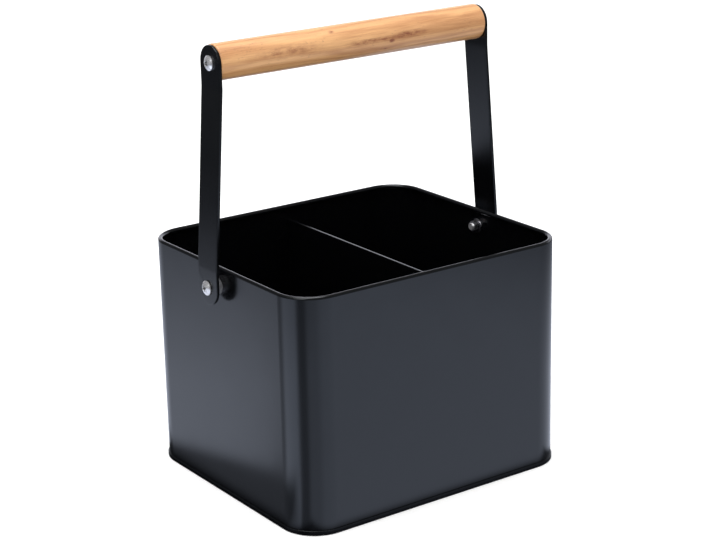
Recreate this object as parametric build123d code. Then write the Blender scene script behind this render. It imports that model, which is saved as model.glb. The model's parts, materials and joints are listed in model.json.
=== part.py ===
"""Open-topped steel utensil caddy: two compartments, and a swinging handle with a wooden grip.

The body is a bent steel wall with a curled rim, a pressed base seamed round the wall's foot, and a
hemmed divider welded between the front and back walls.  The handle is two flat steel arms with a
round beech grip screwed between them, and it turns on a screw through each side wall.

Frame: origin on the table under the middle of the body, +X to the right, -Y to the front, +Z up.
All sizes are in millimetres.
"""
import math
import os

from build123d import *

# Body -------------------------------------------------------------------------------------------
body_width = 200.0  # outside of the wall, left to right
body_depth = 175.0  # outside of the wall, front to back
body_height = 148.0  # table to the top of the rim
corner_radius = 23.0  # outside of the upright corners
wall_sheet = 0.8  # steel of the wall
rim_curl_radius = 1.6  # outside of the curl along the rim
rim_curl_turn = 240.0  # degrees that the curl turns through
rim_curl_flat_count = 8  # flats that stand for its round section outside; inside it has half as many

# Base -------------------------------------------------------------------------------------------
base_sheet = 0.7  # steel of the pressed base
seam_height = 3.2  # table to the top of the seam, and to the top of the floor panel
seam_gap = 0.05  # room between the wall and the seam folded round it
seam_edge = 0.4  # chamfer that softens the seam's outer edges

# Divider ----------------------------------------------------------------------------------------
divider_sheet = 0.8  # steel of the divider
divider_offset = 8.0  # middle of its web, to the right of the body's middle
divider_drop = 10.0  # rim down to the top of the hem
hem_width = 1.8  # folded edge, across
hem_depth = 7.0  # folded edge, top to bottom
flange_width = 10.0  # welding flange at each end, with the web's thickness
flange_bend_radius = 1.4  # middle of the sheet, where a flange bends off the web
flange_fall = 6.5  # how far a flange's top slopes down to its free edge
hem_end_gap = 0.4  # the hem stops this far short of the walls

# Handle -----------------------------------------------------------------------------------------
arm_width = 21.0  # strap, across, and the diameter of its round ends
arm_sheet = 2.0  # strap thickness
arm_length = 135.0  # pivot to the middle of the grip
arm_edge = 0.3  # chamfer that eases the strap's edges
arm_bend_radius = 45.0  # middle of the strap, in each of its two shallow bends
arm_bend_run = 3.5  # from what the arm bears on to the middle of a bend
pivot_drop = 12.0  # rim down to the pivot
pivot_gap = 5.2  # wall to the arm's inner face, at the pivot
grip_inset = 3.0  # the grip's ends lie this far inside the body's sides
grip_diameter = 22.0
grip_edge = 1.0  # chamfer round each end of the grip

# Fasteners --------------------------------------------------------------------------------------
screw_diameter = 5.0
screw_head_diameter = 10.0
screw_head_height = 2.9
screw_head_rim = 0.9  # upright edge of the head, below its dome
screw_dome_ring_count = 2  # cone rings that stand for the dome, below its flat top
screw_point = 0.7  # chamfer at the screw's end
recess_width = 1.1  # each arm of the cross in the head
recess_span = 5.0  # cross, end to end
recess_depth = 1.5
thread_past_nut = 1.2  # end of the pivot screw past its nut
grip_screw_length = 30.0  # under the head
grip_hole_extra = 2.0  # depth of the grip's hole past the screw's end
spacer_diameter = 11.0
washer_diameter = 10.0
washer_thickness = 1.0
nut_across_flats = 8.0
nut_height = 4.0
nut_corner_turn = 0.45  # how far the nut's corners are turned down at each face
hole_clearance = 0.08  # all round a screw, in each hole that it passes through
side_clearance = 0.1  # each side of a turning arm

# Sizes that follow ------------------------------------------------------------------------------
wall_x = body_width / 2
wall_y = body_depth / 2
wall_inner_x = wall_x - wall_sheet
wall_inner_y = wall_y - wall_sheet
pivot_z = body_height - pivot_drop
grip_z = pivot_z + arm_length
arm_x_at_pivot = wall_x + pivot_gap  # inner face of the right arm
arm_x_at_grip = wall_x - grip_inset
divider_top = body_height - divider_drop
flange_top = divider_top - hem_depth
divider_left_face = divider_offset - divider_sheet / 2
divider_right_face = divider_offset + divider_sheet / 2
spacer_length = pivot_gap - side_clearance
hole_radius = screw_diameter / 2 + hole_clearance
nut_x = wall_inner_x - washer_thickness  # face of the nut that bears on the washer
pivot_head_x = arm_x_at_pivot + arm_sheet + side_clearance  # underside of the pivot screw's head
pivot_screw_length = pivot_head_x - nut_x + nut_height + thread_past_nut


def body_outline(inset=0.0):
    """The body's rounded rectangle on the table, drawn in from the outside by an inset."""
    width = body_width - 2 * inset
    depth = body_depth - 2 * inset
    return RectangleRounded(width, depth, corner_radius - inset)


def run_round_body(section):
    """Sweep a section once round the body; its x runs outwards from the wall, its y upwards."""
    path = body_outline().wire()
    outwards = (path % 0).cross(Vector(0, 0, 1))
    start = Plane(origin=path @ 0, x_dir=outwards, z_dir=outwards.cross(Vector(0, 0, 1)))
    return sweep(start * section, path=path)


def points_on_arc(centre, radius, start, turn, flats):
    """The ends of equal flats along an arc, which starts at an angle and turns by another."""
    angles = [math.radians(start + turn * step / flats) for step in range(flats + 1)]
    return [(centre[0] + radius * math.cos(a), centre[1] + radius * math.sin(a)) for a in angles]


def wall_sleeve():
    """Upright wall with its top edge curled inwards, and a hole for each pivot screw."""
    middle = (-rim_curl_radius, body_height - rim_curl_radius)
    outer_curl = points_on_arc(middle, rim_curl_radius, 0, rim_curl_turn, rim_curl_flat_count)
    inner_curl = points_on_arc(middle, rim_curl_radius - wall_sheet, 0, rim_curl_turn, rim_curl_flat_count // 2)
    section = make_face(Polyline(
        (0, base_sheet),
        *outer_curl,
        *reversed(inner_curl),
        (-wall_sheet, base_sheet),
        close=True,
    ))
    pivot_holes = Pos(0, 0, pivot_z) * across(Cylinder(hole_radius, 2 * body_width), 0)
    return run_round_body(section) - pivot_holes


def base_pan():
    """Pressed floor whose edge is folded up round the foot of the wall."""
    outside = seam_gap + base_sheet
    slot_inside = -wall_sheet - seam_gap
    leg_inside = slot_inside - base_sheet
    section = make_face(Polyline(
        (outside, 0),
        (outside, seam_height),
        (seam_gap, seam_height),
        (seam_gap, base_sheet),
        (slot_inside, base_sheet),
        (slot_inside, seam_height),
        (leg_inside, seam_height),
        (leg_inside, 0),
        close=True,
    ))
    soft_corners = [(outside, 0), (outside, seam_height), (leg_inside, 0)]
    soft_corners = [section.vertices().sort_by_distance(corner)[0] for corner in soft_corners]
    section = chamfer(soft_corners, seam_edge)
    panel = extrude(body_outline(-leg_inside - base_sheet / 2), base_sheet)
    return run_round_body(section) + Pos(0, 0, seam_height - base_sheet) * panel


def bent_strip(points, plane, bend_radius, thickness, width):
    """Sheet bent along points drawn in a plane, its width centred on that plane."""
    path = plane * FilletPolyline(*points, radius=bend_radius)
    start = Plane(origin=path @ 0, x_dir=plane.z_dir, z_dir=path % 0)
    return sweep(start * Rectangle(width, thickness), path=path)


def divider():
    """Web with a welding flange at each end and a folded top edge, standing on the floor panel."""
    flange_y = wall_inner_y - divider_sheet / 2
    free_x = divider_right_face - flange_width
    plan = [(free_x, flange_y), (divider_offset, flange_y), (divider_offset, -flange_y), (free_x, -flange_y)]
    sheet_height = flange_top - seam_height
    middle = Plane.XY.offset(seam_height + sheet_height / 2)
    web = bent_strip(plan, middle, flange_bend_radius, divider_sheet, sheet_height)
    flange_ends = make_face(Polyline(
        (divider_left_face, flange_top),
        (free_x, flange_top - flange_fall),
        (free_x - flange_width, flange_top - flange_fall),
        (free_x - flange_width, flange_top + hem_depth),
        (divider_left_face, flange_top + hem_depth),
        close=True,
    ))
    web -= extrude(Plane.XZ * flange_ends, body_depth / 2, both=True)
    return web + hem()


def hem():
    """Folded top edge of the divider, drawn in section and run from wall to wall."""
    round_radius = hem_width / 2
    round_z = divider_top - round_radius
    hem_left_face = divider_right_face - hem_width
    fold = CenterArc((divider_right_face - round_radius, round_z), round_radius, 0, 180)
    section = make_face([
        fold,
        Line((hem_left_face, round_z), (hem_left_face, flange_top)),
        Line((hem_left_face, flange_top), (divider_right_face, flange_top)),
        Line((divider_right_face, flange_top), (divider_right_face, round_z)),
    ])
    return extrude(Plane.XZ * section, wall_inner_y - hem_end_gap, both=True)


def across(shape, x):
    """Stand a shape drawn about the Z axis on its side, so that its Z runs along +X from x."""
    return Pos(x, 0, 0) * Rot(0, 90, 0) * shape


def ring(outer_diameter, thickness):
    """A plain spacer or washer that stands on the XY plane."""
    disc = Circle(outer_diameter / 2) - Circle(hole_radius)
    return extrude(disc, thickness)


def pan_head_screw(length):
    """Pan head screw with a cross recess; the head stands up from the XY plane."""
    shank_radius = screw_diameter / 2
    head_radius = screw_head_diameter / 2
    dome_height = screw_head_height - screw_head_rim
    dome_radius = (head_radius ** 2 + dome_height ** 2) / (2 * dome_height)
    dome_middle = (0, screw_head_height - dome_radius)
    dome_turn = math.degrees(math.asin(head_radius / dome_radius))
    # the last flat of the dome would run to a point on the axis, and is left level instead
    dome = points_on_arc(dome_middle, dome_radius, 90 - dome_turn, dome_turn, screw_dome_ring_count + 1)[:-1]
    outline = make_face(Polyline(
        (0, dome[-1][1]),
        (0, -length),
        (shank_radius - screw_point, -length),
        (shank_radius, screw_point - length),
        (shank_radius, 0),
        (head_radius, 0),
        *dome,
        close=True,
    ))
    body = revolve(Plane.XZ * outline, axis=Axis.Z)
    cross = Box(recess_width, recess_span, 2 * recess_depth) + Box(recess_span, recess_width, 2 * recess_depth)
    return body - Pos(0, 0, dome[-1][1]) * cross


def hexagon_nut():
    """Hexagon nut that stands on the XY plane, its corners turned down at both faces."""
    hexagon = extrude(RegularPolygon(nut_across_flats / 2, 6, major_radius=False), nut_height)
    turned = Pos(0, 0, nut_height / 2) * Cylinder(nut_across_flats / math.sqrt(3), nut_height)
    turned = chamfer(turned.edges().filter_by(GeomType.CIRCLE), nut_corner_turn)
    return (hexagon & turned) - Cylinder(hole_radius, 4 * nut_height)


def handle_arm():
    """Right arm: flat strap with round ends, bent in a little between the pivot and the grip."""
    middle = arm_sheet / 2
    low_bend_z = pivot_z + spacer_diameter / 2 + arm_bend_run
    high_bend_z = grip_z - grip_diameter / 2 - arm_bend_run
    points = [
        (arm_x_at_pivot + middle, pivot_z - arm_width),
        (arm_x_at_pivot + middle, low_bend_z),
        (arm_x_at_grip + middle, high_bend_z),
        (arm_x_at_grip + middle, grip_z + arm_width),
    ]
    strip = bent_strip(points, Plane.XZ, arm_bend_radius, arm_sheet, 2 * arm_width)
    slot = Pos(0, (pivot_z + grip_z) / 2) * SlotCenterToCenter(arm_length, arm_width, rotation=90)
    arm = strip & extrude(Plane.YZ * slot, 2 * body_width)
    arm = chamfer(arm.edges().filter_by(lambda edge: edge.length > arm_sheet + arm_edge), arm_edge)
    for z in (pivot_z, grip_z):
        arm -= Pos(0, 0, z) * across(Cylinder(hole_radius, 4 * body_width), 0)
    return arm


def wood_grip():
    """Round beech bar between the arms, with a hole for a screw in each end."""
    length = 2 * arm_x_at_grip
    bar = Cylinder(grip_diameter / 2, length)
    bar = chamfer(bar.edges().filter_by(GeomType.CIRCLE), grip_edge)
    hole_depth = grip_screw_length - arm_sheet + grip_hole_extra
    hole = Cylinder(hole_radius, 2 * hole_depth)
    bar -= Pos(0, 0, length / 2) * hole
    bar -= Pos(0, 0, -length / 2) * hole
    return Pos(0, 0, grip_z) * across(bar, 0)


def right_side_pieces():
    """Every piece that the right side has, by name; the left side has the same, mirrored."""
    at_pivot = Pos(0, 0, pivot_z)
    at_grip = Pos(0, 0, grip_z)
    return {
        "pivot_screw": at_pivot * across(pan_head_screw(pivot_screw_length), pivot_head_x),
        "pivot_spacer": at_pivot * across(ring(spacer_diameter, spacer_length), wall_x),
        "pivot_washer": at_pivot * across(ring(washer_diameter, washer_thickness), nut_x),
        "pivot_nut": at_pivot * across(hexagon_nut(), nut_x - nut_height),
        "handle_arm": handle_arm(),
        "grip_screw": at_grip * across(pan_head_screw(grip_screw_length), arm_x_at_grip + arm_sheet),
    }


def build():
    """All the pieces of the caddy, by name."""
    pieces = {
        "wall_sleeve": wall_sleeve(),
        "base_pan": base_pan(),
        "divider": divider(),
        "wood_grip": wood_grip(),
    }
    for name, piece in right_side_pieces().items():
        pieces[name + "_right"] = piece
        pieces[name + "_left"] = mirror(piece, about=Plane.YZ)
    return pieces


os.makedirs("parts", exist_ok=True)
for name, piece in build().items():
    export_step(piece, f"parts/{name}.step")
    print(f"{name}: {piece.volume / 1000:.2f} cm3")
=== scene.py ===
"""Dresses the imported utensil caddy: powder-coated steel body, strap arms and a varnished beech grip.

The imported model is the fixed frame.  Each sub-assembly is a class: it reads its places from the
frame, builds its meshes and gives them their finish.  Every length is in metres.
"""
import json
import logging
import math
from dataclasses import dataclass
from enum import Enum

import bmesh
import bpy
from bpy.types import ID, Material, Node, NodeSocket, NodeTree, Object
from mathutils import Matrix, Vector

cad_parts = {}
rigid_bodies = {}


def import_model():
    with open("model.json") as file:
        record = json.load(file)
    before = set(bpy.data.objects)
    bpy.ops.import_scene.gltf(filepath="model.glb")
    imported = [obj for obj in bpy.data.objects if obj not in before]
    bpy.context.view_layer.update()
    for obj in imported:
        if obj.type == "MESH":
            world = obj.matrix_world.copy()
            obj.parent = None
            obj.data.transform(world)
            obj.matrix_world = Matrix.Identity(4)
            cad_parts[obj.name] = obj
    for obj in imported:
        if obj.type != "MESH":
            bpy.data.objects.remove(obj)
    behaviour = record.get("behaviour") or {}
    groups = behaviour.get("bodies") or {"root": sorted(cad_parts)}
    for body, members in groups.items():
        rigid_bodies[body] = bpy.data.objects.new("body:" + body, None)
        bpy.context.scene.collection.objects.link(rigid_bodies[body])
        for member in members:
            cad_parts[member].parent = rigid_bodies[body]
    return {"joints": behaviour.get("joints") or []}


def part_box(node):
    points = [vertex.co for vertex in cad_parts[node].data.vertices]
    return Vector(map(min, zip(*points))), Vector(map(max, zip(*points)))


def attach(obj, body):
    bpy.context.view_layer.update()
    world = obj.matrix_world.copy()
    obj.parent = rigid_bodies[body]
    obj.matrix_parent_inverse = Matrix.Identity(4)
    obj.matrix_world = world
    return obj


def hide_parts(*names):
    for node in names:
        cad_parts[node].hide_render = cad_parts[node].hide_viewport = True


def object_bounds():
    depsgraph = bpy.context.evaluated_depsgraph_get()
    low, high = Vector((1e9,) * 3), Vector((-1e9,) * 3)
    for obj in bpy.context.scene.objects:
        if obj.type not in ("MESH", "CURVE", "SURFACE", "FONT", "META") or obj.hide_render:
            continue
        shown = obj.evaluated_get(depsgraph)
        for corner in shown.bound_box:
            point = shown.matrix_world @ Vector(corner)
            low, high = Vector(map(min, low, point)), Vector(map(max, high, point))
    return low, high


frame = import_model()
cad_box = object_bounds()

log = logging.getLogger("caddy")

MM = 0.001
PIVOT_Z = frame["joints"][0]["pos_m"][2]
BORE_RADIUS = 2.58 * MM
ARM_SHEET = 2 * MM
RING_STEPS = 64
DRILL_STEPS = 48
WHITE = (1.0, 1.0, 1.0, 1.0)
Pair = tuple[float, float]
Triple = tuple[float, float, float]


class Body(Enum):
    """The two bodies that the joint parts."""

    CADDY = "caddy"
    HANDLE = "handle"


class Slot(Enum):
    """The record's material slots."""

    BODY_COAT = "black_powder_coat"
    ARM_COAT = "black_arm_coat"
    BEECH = "varnished_beech"
    ZINC = "zinc_plated_steel"


class Side(Enum):
    """Which side of the caddy a piece is on, as the sign of its X."""

    LEFT = -1.0
    RIGHT = 1.0


# Node trees -------------------------------------------------------------------------------------
class NodeBuilder:
    """Adds nodes and links to one node tree."""

    def __init__(self, tree: NodeTree) -> None:
        """Keep the tree that the nodes go into."""
        self.tree = tree

    def add(self, kind: str, inputs: dict | None = None, **settings: object) -> Node:
        """Add a node, set its properties and fill its inputs.

        Args:
            kind: Blender's name for the node's type.
            inputs: Socket name or number to a value, or to the output socket that feeds it.
            settings: Properties of the node itself.

        Returns:
            The new node.
        """
        node = self.tree.nodes.new(kind)
        for name, value in settings.items():
            setattr(node, name, value)
        for key, value in (inputs or {}).items():
            if isinstance(value, NodeSocket):
                self.tree.links.new(value, node.inputs[key])
            else:
                node.inputs[key].default_value = value
        return node

    def math(self, operation: str, *values: object) -> NodeSocket:
        """Add a Math node with its inputs in order."""
        return self.add("ShaderNodeMath", dict(enumerate(values)), operation=operation).outputs[0]

    def product(self, first: object, *others: object) -> NodeSocket:
        """Multiply numbers or sockets, one after another.

        Args:
            first: The first factor.
            others: The factors that follow, at least one of them.

        Returns:
            The product's socket.
        """
        for other in others:
            first = self.math("MULTIPLY", first, other)
        return first

    def vector(self, operation: str, *values: object) -> NodeSocket:
        """Add a Vector Math node; a length or dot product gives a number, the others a vector."""
        node = self.add("ShaderNodeVectorMath", dict(enumerate(values)), operation=operation)
        return node.outputs["Value" if operation in ("LENGTH", "DOT_PRODUCT") else "Vector"]

    def scaled(self, value: object, low: float, high: float, to_low: float, to_high: float) -> NodeSocket:
        """Map the range from low to high onto to_low to to_high, clamped at both ends."""
        inputs = {0: value, 1: low, 2: high, 3: to_low, 4: to_high}
        return self.add("ShaderNodeMapRange", inputs, clamp=True).outputs[0]

    def parts(self, vector: NodeSocket) -> list[NodeSocket]:
        """Split a vector into its X, Y and Z."""
        return list(self.add("ShaderNodeSeparateXYZ", {0: vector}).outputs)

    def joined(self, parts: dict[int, object]) -> NodeSocket:
        """Join numbers into a vector, by number of axis; one left out is 0."""
        return self.add("ShaderNodeCombineXYZ", parts).outputs[0]


class Recipe(NodeBuilder):
    """A Geometry Nodes tree with named inputs, which turns one object into a plain mesh."""

    def __init__(self, name: str) -> None:
        """Start the tree with a geometry and a material input.

        Args:
            name: The tree's name.
        """
        super().__init__(bpy.data.node_groups.new(name, "GeometryNodeTree"))
        self.source = self._input("Geometry", "NodeSocketGeometry")
        self.material = self._input("Material", "NodeSocketMaterial")
        self.tree.interface.new_socket(name="Geometry", in_out="OUTPUT", socket_type="NodeSocketGeometry")

    def _input(self, name: str, socket_type: str) -> NodeSocket:
        """Add an input and return the socket that gives it inside the tree."""
        self.tree.interface.new_socket(name=name, in_out="INPUT", socket_type=socket_type)
        return self.add("NodeGroupInput").outputs[name]

    def length(self, name: str) -> NodeSocket:
        """Add a named length, or another plain number."""
        return self._input(name, "NodeSocketFloat")

    def count(self, name: str) -> NodeSocket:
        """Add a named count."""
        return self._input(name, "NodeSocketInt")

    def polyline(self, *points: dict[int, object]) -> NodeSocket:
        """Draw an open line through four points.

        Args:
            points: Four dictionaries of axis number to coordinate; an axis left out is 0.

        Returns:
            The curve's socket.
        """
        corners = {f"Point {number}": self.joined(point) for number, point in enumerate(points, start=1)}
        closed = self.add("GeometryNodeCurvePrimitiveQuadrilateral", corners, mode="POINTS")
        return self.add("GeometryNodeSetSplineCyclic", {"Geometry": closed.outputs[0], "Cyclic": False}).outputs[0]

    def rectangle(self, width: NodeSocket, height: NodeSocket) -> NodeSocket:
        """Draw a rectangle about the origin."""
        inputs = {"Width": width, "Height": height}
        return self.add("GeometryNodeCurvePrimitiveQuadrilateral", inputs, mode="RECTANGLE").outputs[0]

    def filleted(self, curve: NodeSocket, radius: NodeSocket, steps: NodeSocket) -> NodeSocket:
        """Round a curve's corners with arcs of equal steps."""
        inputs = {"Curve": curve, "Radius": radius, "Count": steps}
        return self.add("GeometryNodeFilletCurve", inputs, mode="POLY").outputs[0]

    def swept(self, path: NodeSocket, section: NodeSocket, capped: bool) -> NodeSocket:
        """Sweep a section along a path in the XY plane.

        Args:
            path: The path's curve.
            section: The section's curve, its x across the path and its y downwards.
            capped: Whether the ends are closed.

        Returns:
            The mesh's socket.
        """
        upright = self.add("GeometryNodeSetCurveNormal", {"Curve": path}, mode="Z_UP").outputs[0]
        inputs = {"Curve": upright, "Profile Curve": section, "Fill Caps": capped}
        return self.add("GeometryNodeCurveToMesh", inputs).outputs[0]

    def close(self, geometry: NodeSocket) -> None:
        """End the tree with Realize Instances and Set Material.

        Args:
            geometry: What the tree has made.
        """
        real = self.add("GeometryNodeRealizeInstances", {"Geometry": geometry}).outputs[0]
        dressed = self.add("GeometryNodeSetMaterial", {"Geometry": real, "Material": self.material})
        self.add("NodeGroupOutput", {0: dressed.outputs[0]})

    def run(self, source: Object, material: Material, **sizes: float) -> Object:
        """Run the tree on an object and keep only the resulting mesh.

        Args:
            source: What the tree starts from; its modifiers run first.
            material: The finish that the tree sets.
            sizes: The named inputs, with _ for each space.

        Returns:
            A plain mesh under the same name.
        """
        modifier = source.modifiers.new(self.tree.name, "NODES")
        modifier.node_group = self.tree
        values = {name.replace("_", " "): value for name, value in sizes.items()}
        values["Material"] = material
        for item in self.tree.interface.items_tree:
            if item.in_out == "INPUT" and item.name in values:
                modifier[item.identifier] = values.pop(item.name)
        if values:
            raise ValueError(f"{self.tree.name} has no input named {sorted(values)}")
        return flatten(source)


class SectionRoundBody(Recipe):
    """Sweeps a section once round the body's rounded rectangle; its x points outwards, its y up."""

    def __init__(self) -> None:
        """Build the tree."""
        super().__init__("section_round_body")
        outline = self.rectangle(self.length("Width"), self.length("Depth"))
        path = self.filleted(outline, self.length("Corner Radius"), self.count("Corner Steps"))
        section = self.add("GeometryNodeTransform", {"Geometry": self.source, "Scale": (1.0, -1.0, 1.0)})
        wall = self.swept(path, section.outputs[0], capped=False)
        self.close(self.add("GeometryNodeFlipFaces", {"Mesh": wall}).outputs[0])


class BentStrap(Recipe):
    """Bends a flat strap, which stands along Z, to the handle arm's line in the XZ plane."""

    def __init__(self) -> None:
        """Build the tree."""
        super().__init__("bent_strap")
        near, far = self.length("Pivot X"), self.length("Grip X")
        start, low = self.length("Start Z"), self.length("Low Bend Z")
        high, end = self.length("High Bend Z"), self.length("End Z")
        line = self.polyline({0: near, 2: start}, {0: near, 2: low}, {0: far, 2: high}, {0: far, 2: end})
        path = self.filleted(line, self.length("Bend Radius"), self.count("Bend Steps"))
        x, y, z = self.parts(self.add("GeometryNodeInputPosition").outputs[0])
        on_line = self.add(
            "GeometryNodeSampleCurve", {"Curves": path, "Length": z}, mode="LENGTH", use_all_curves=True
        ).outputs
        across = self.vector("CROSS_PRODUCT", (0.0, 1.0, 0.0), on_line["Tangent"])
        offset = self.add("ShaderNodeVectorMath", {0: across, "Scale": x}, operation="SCALE").outputs[0]
        bent = self.vector("ADD", self.vector("ADD", on_line["Position"], offset), self.joined({1: y}))
        sided = self.vector("MULTIPLY", bent, self.joined({0: self.length("Side"), 1: 1.0, 2: 1.0}))
        self.close(self.add("GeometryNodeSetPosition", {"Geometry": self.source, "Position": sided}).outputs[0])


class FlangedWeb(Recipe):
    """Sweeps the divider's sheet along its C-shaped plan, and slopes the tops of both flanges."""

    def __init__(self) -> None:
        """Build the tree."""
        super().__init__("flanged_web")
        web, free, reach = self.length("Web X"), self.length("Free X"), self.length("Reach Y")
        back = self.product(reach, -1.0)
        middle = self.length("Middle Z")
        plan = ((free, reach), (web, reach), (web, back), (free, back))
        line = self.polyline(*({0: x, 1: y, 2: middle} for x, y in plan))
        path = self.filleted(line, self.length("Bend Radius"), self.count("Bend Steps"))
        section = self.rectangle(self.length("Sheet"), self.length("Sheet Height"))
        sheet = self.swept(path, section, capped=True)
        x, _, z = self.parts(self.add("GeometryNodeInputPosition").outputs[0])
        beyond = self.math("MAXIMUM", self.math("SUBTRACT", self.length("Slope From X"), x), 0.0)
        fall = self.product(beyond, self.product(self.length("Slope"), -1.0))
        is_top = self.add("FunctionNodeCompare", {"A": z, "B": middle}, operation="GREATER_THAN").outputs[0]
        inputs = {"Geometry": sheet, "Selection": is_top, "Offset": self.joined({2: fall})}
        self.close(self.add("GeometryNodeSetPosition", inputs).outputs[0])


class FastenerPair(Recipe):
    """Sets one fastener, drawn along Z, on both sides of the caddy, its Z pointing outwards."""

    def __init__(self) -> None:
        """Build the tree."""
        super().__init__("fastener_pair")
        reach, height = self.length("Reach X"), self.length("Height Z")
        index = self.add("GeometryNodeInputIndex").outputs[0]
        sign = self.math("SUBTRACT", self.product(index, 2.0), 1.0)
        place = self.joined({0: self.product(sign, reach), 2: height})
        points = self.add("GeometryNodePoints", {"Count": 2, "Position": place}).outputs[0]
        outwards = self.joined({1: self.product(sign, math.pi / 2)})
        turned_out = self.add("FunctionNodeEulerToRotation", {0: outwards}).outputs[0]
        spin = self.math("ADD", self.length("Spin"), self.product(index, self.length("Spin Difference")))
        about_axis = self.add("FunctionNodeAxisAngleToRotation", {"Axis": (0.0, 0.0, 1.0), "Angle": spin})
        rotation = self.add(
            "FunctionNodeRotateRotation", {"Rotation": turned_out, "Rotate By": about_axis.outputs[0]},
            rotation_space="LOCAL",
        ).outputs[0]
        inputs = {"Points": points, "Instance": self.source, "Rotation": rotation}
        self.close(self.add("GeometryNodeInstanceOnPoints", inputs).outputs[0])


# Meshes -----------------------------------------------------------------------------------------
def show(name: str, data: ID) -> Object:
    """Put a mesh, curve, light or camera in the scene as an object at the origin.

    Args:
        name: The object's name.
        data: What it shows.

    Returns:
        The new object.
    """
    piece = bpy.data.objects.new(name, data)
    bpy.context.scene.collection.objects.link(piece)
    return piece


def flatten(piece: Object) -> Object:
    """Replace an object by its evaluated mesh, with no modifier left.

    Args:
        piece: The object, which is removed.

    Returns:
        A new object of the same name.
    """
    name, used = piece.name, piece.data
    evaluated = piece.evaluated_get(bpy.context.evaluated_depsgraph_get())
    mesh = bpy.data.meshes.new_from_object(evaluated)
    bpy.data.objects.remove(piece)
    bpy.data.batch_remove([used])
    mesh.name = name
    return show(name, mesh)


def from_bmesh(name: str, shape: bmesh.types.BMesh) -> Object:
    """Turn a closed bmesh into an object with its faces outwards.

    Args:
        name: The object's name.
        shape: The bmesh, which is freed.

    Returns:
        The new object.
    """
    bmesh.ops.recalc_face_normals(shape, faces=shape.faces)
    mesh = bpy.data.meshes.new(name)
    shape.to_mesh(mesh)
    shape.free()
    return show(name, mesh)


def skin(name: str, rings: list[list[Triple]], closed: bool = False) -> Object:
    """Join rings of points, each of the same count or a single pole, into a closed shape.

    Args:
        name: The object's name.
        rings: The rings in order.
        closed: Whether the last ring joins the first, as on a washer.

    Returns:
        The new object.
    """
    shape = bmesh.new()
    rows = [[shape.verts.new(point) for point in ring] for ring in rings]
    pairs = list(zip(rows, rows[1:]))
    if closed:
        pairs.append((rows[-1], rows[0]))
    for row, after in pairs:
        steps = max(len(row), len(after))
        for step in range(steps):
            ahead = (step + 1) % steps
            corners = [row[step % len(row)], row[ahead % len(row)]]
            corners += [after[ahead % len(after)], after[step % len(after)]]
            shape.faces.new(list(dict.fromkeys(corners)))
    bmesh.ops.holes_fill(shape, edges=[edge for edge in shape.edges if edge.is_boundary])
    return from_bmesh(name, shape)


def turned(name: str, profile: list[Pair], steps: int, closed: bool = False) -> Object:
    """Turn a profile of (radius, height) points about Z; a radius of 0 is a pole.

    Args:
        name: The object's name.
        profile: The points in order.
        steps: Points round each ring.
        closed: Whether the profile is a loop that stays off the axis.

    Returns:
        The new object.
    """
    rings = []
    for radius, height in profile:
        angles = [math.tau * step / steps for step in range(steps if radius > 0 else 1)]
        rings.append([(radius * math.cos(a), radius * math.sin(a), height) for a in angles])
    return skin(name, rings, closed)


def laid_along_x(piece: Object, height: float) -> Object:
    """Lay an object that was drawn along Z along X instead, at a height."""
    piece.data.transform(Matrix.Translation((0.0, 0.0, height)) @ Matrix.Rotation(math.pi / 2, 4, "Y"))
    return piece


def arc(centre: Pair, radius: float, start: float, turn: float, steps: int) -> list[Pair]:
    """Points along an arc that starts at an angle and turns through another, both in degrees."""
    angles = [math.radians(start + turn * step / steps) for step in range(steps + 1)]
    return [(centre[0] + radius * math.cos(a), centre[1] + radius * math.sin(a)) for a in angles]


def section_curve(name: str, points: list[Pair], cyclic: bool = True) -> Object:
    """Draw a section through points in the XY plane as a curve object.

    Args:
        name: The object's name.
        points: The section's corners.
        cyclic: Whether the last joins the first.

    Returns:
        The curve object.
    """
    curve = bpy.data.curves.new(name, "CURVE")
    curve.dimensions = "3D"
    spline = curve.splines.new("POLY")
    spline.points.add(len(points) - 1)
    for place, (x, y) in zip(spline.points, points):
        place.co = (x, y, 0.0, 1.0)
    spline.use_cyclic_u = cyclic
    return show(name, curve)


def combine(piece: Object, tool: Object, operation: str) -> Object:
    """Cut, join or intersect a closed mesh with another, which is used up.

    Args:
        piece: The mesh to change.
        tool: The mesh to change it with.
        operation: DIFFERENCE, UNION or INTERSECT.

    Returns:
        The result, under the piece's name.
    """
    boolean = piece.modifiers.new("combine", "BOOLEAN")
    boolean.operation = operation
    boolean.solver = "EXACT"
    boolean.object = tool
    result = flatten(piece)
    bpy.data.objects.remove(tool)
    return result


def bevelled(piece: Object, width: float, steps: int, angle: float) -> Object:
    """Round a mesh's sharp edges.

    Args:
        piece: The mesh.
        width: Width of the rounding.
        steps: Faces across it.
        angle: Edges sharper than this many degrees are rounded.

    Returns:
        The rounded mesh, under the same name.
    """
    bevel = piece.modifiers.new("eased edges", "BEVEL")
    bevel.width = width
    bevel.segments = steps
    bevel.limit_method = "ANGLE"
    bevel.angle_limit = math.radians(angle)
    return flatten(piece)


def shaded(piece: Object, angle: float = 35.0) -> Object:
    """Shade a mesh smooth, sharp past an angle, with flat faces kept flat up to their edges.

    Args:
        piece: The mesh.
        angle: Edges sharper than this many degrees stay sharp.

    Returns:
        The shaded mesh, under the same name.
    """
    piece.data.shade_smooth()
    piece.data.set_sharp_from_angle(angle=math.radians(angle))
    normals = piece.modifiers.new("flat faces", "WEIGHTED_NORMAL")
    normals.keep_sharp = True
    return flatten(piece)


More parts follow.
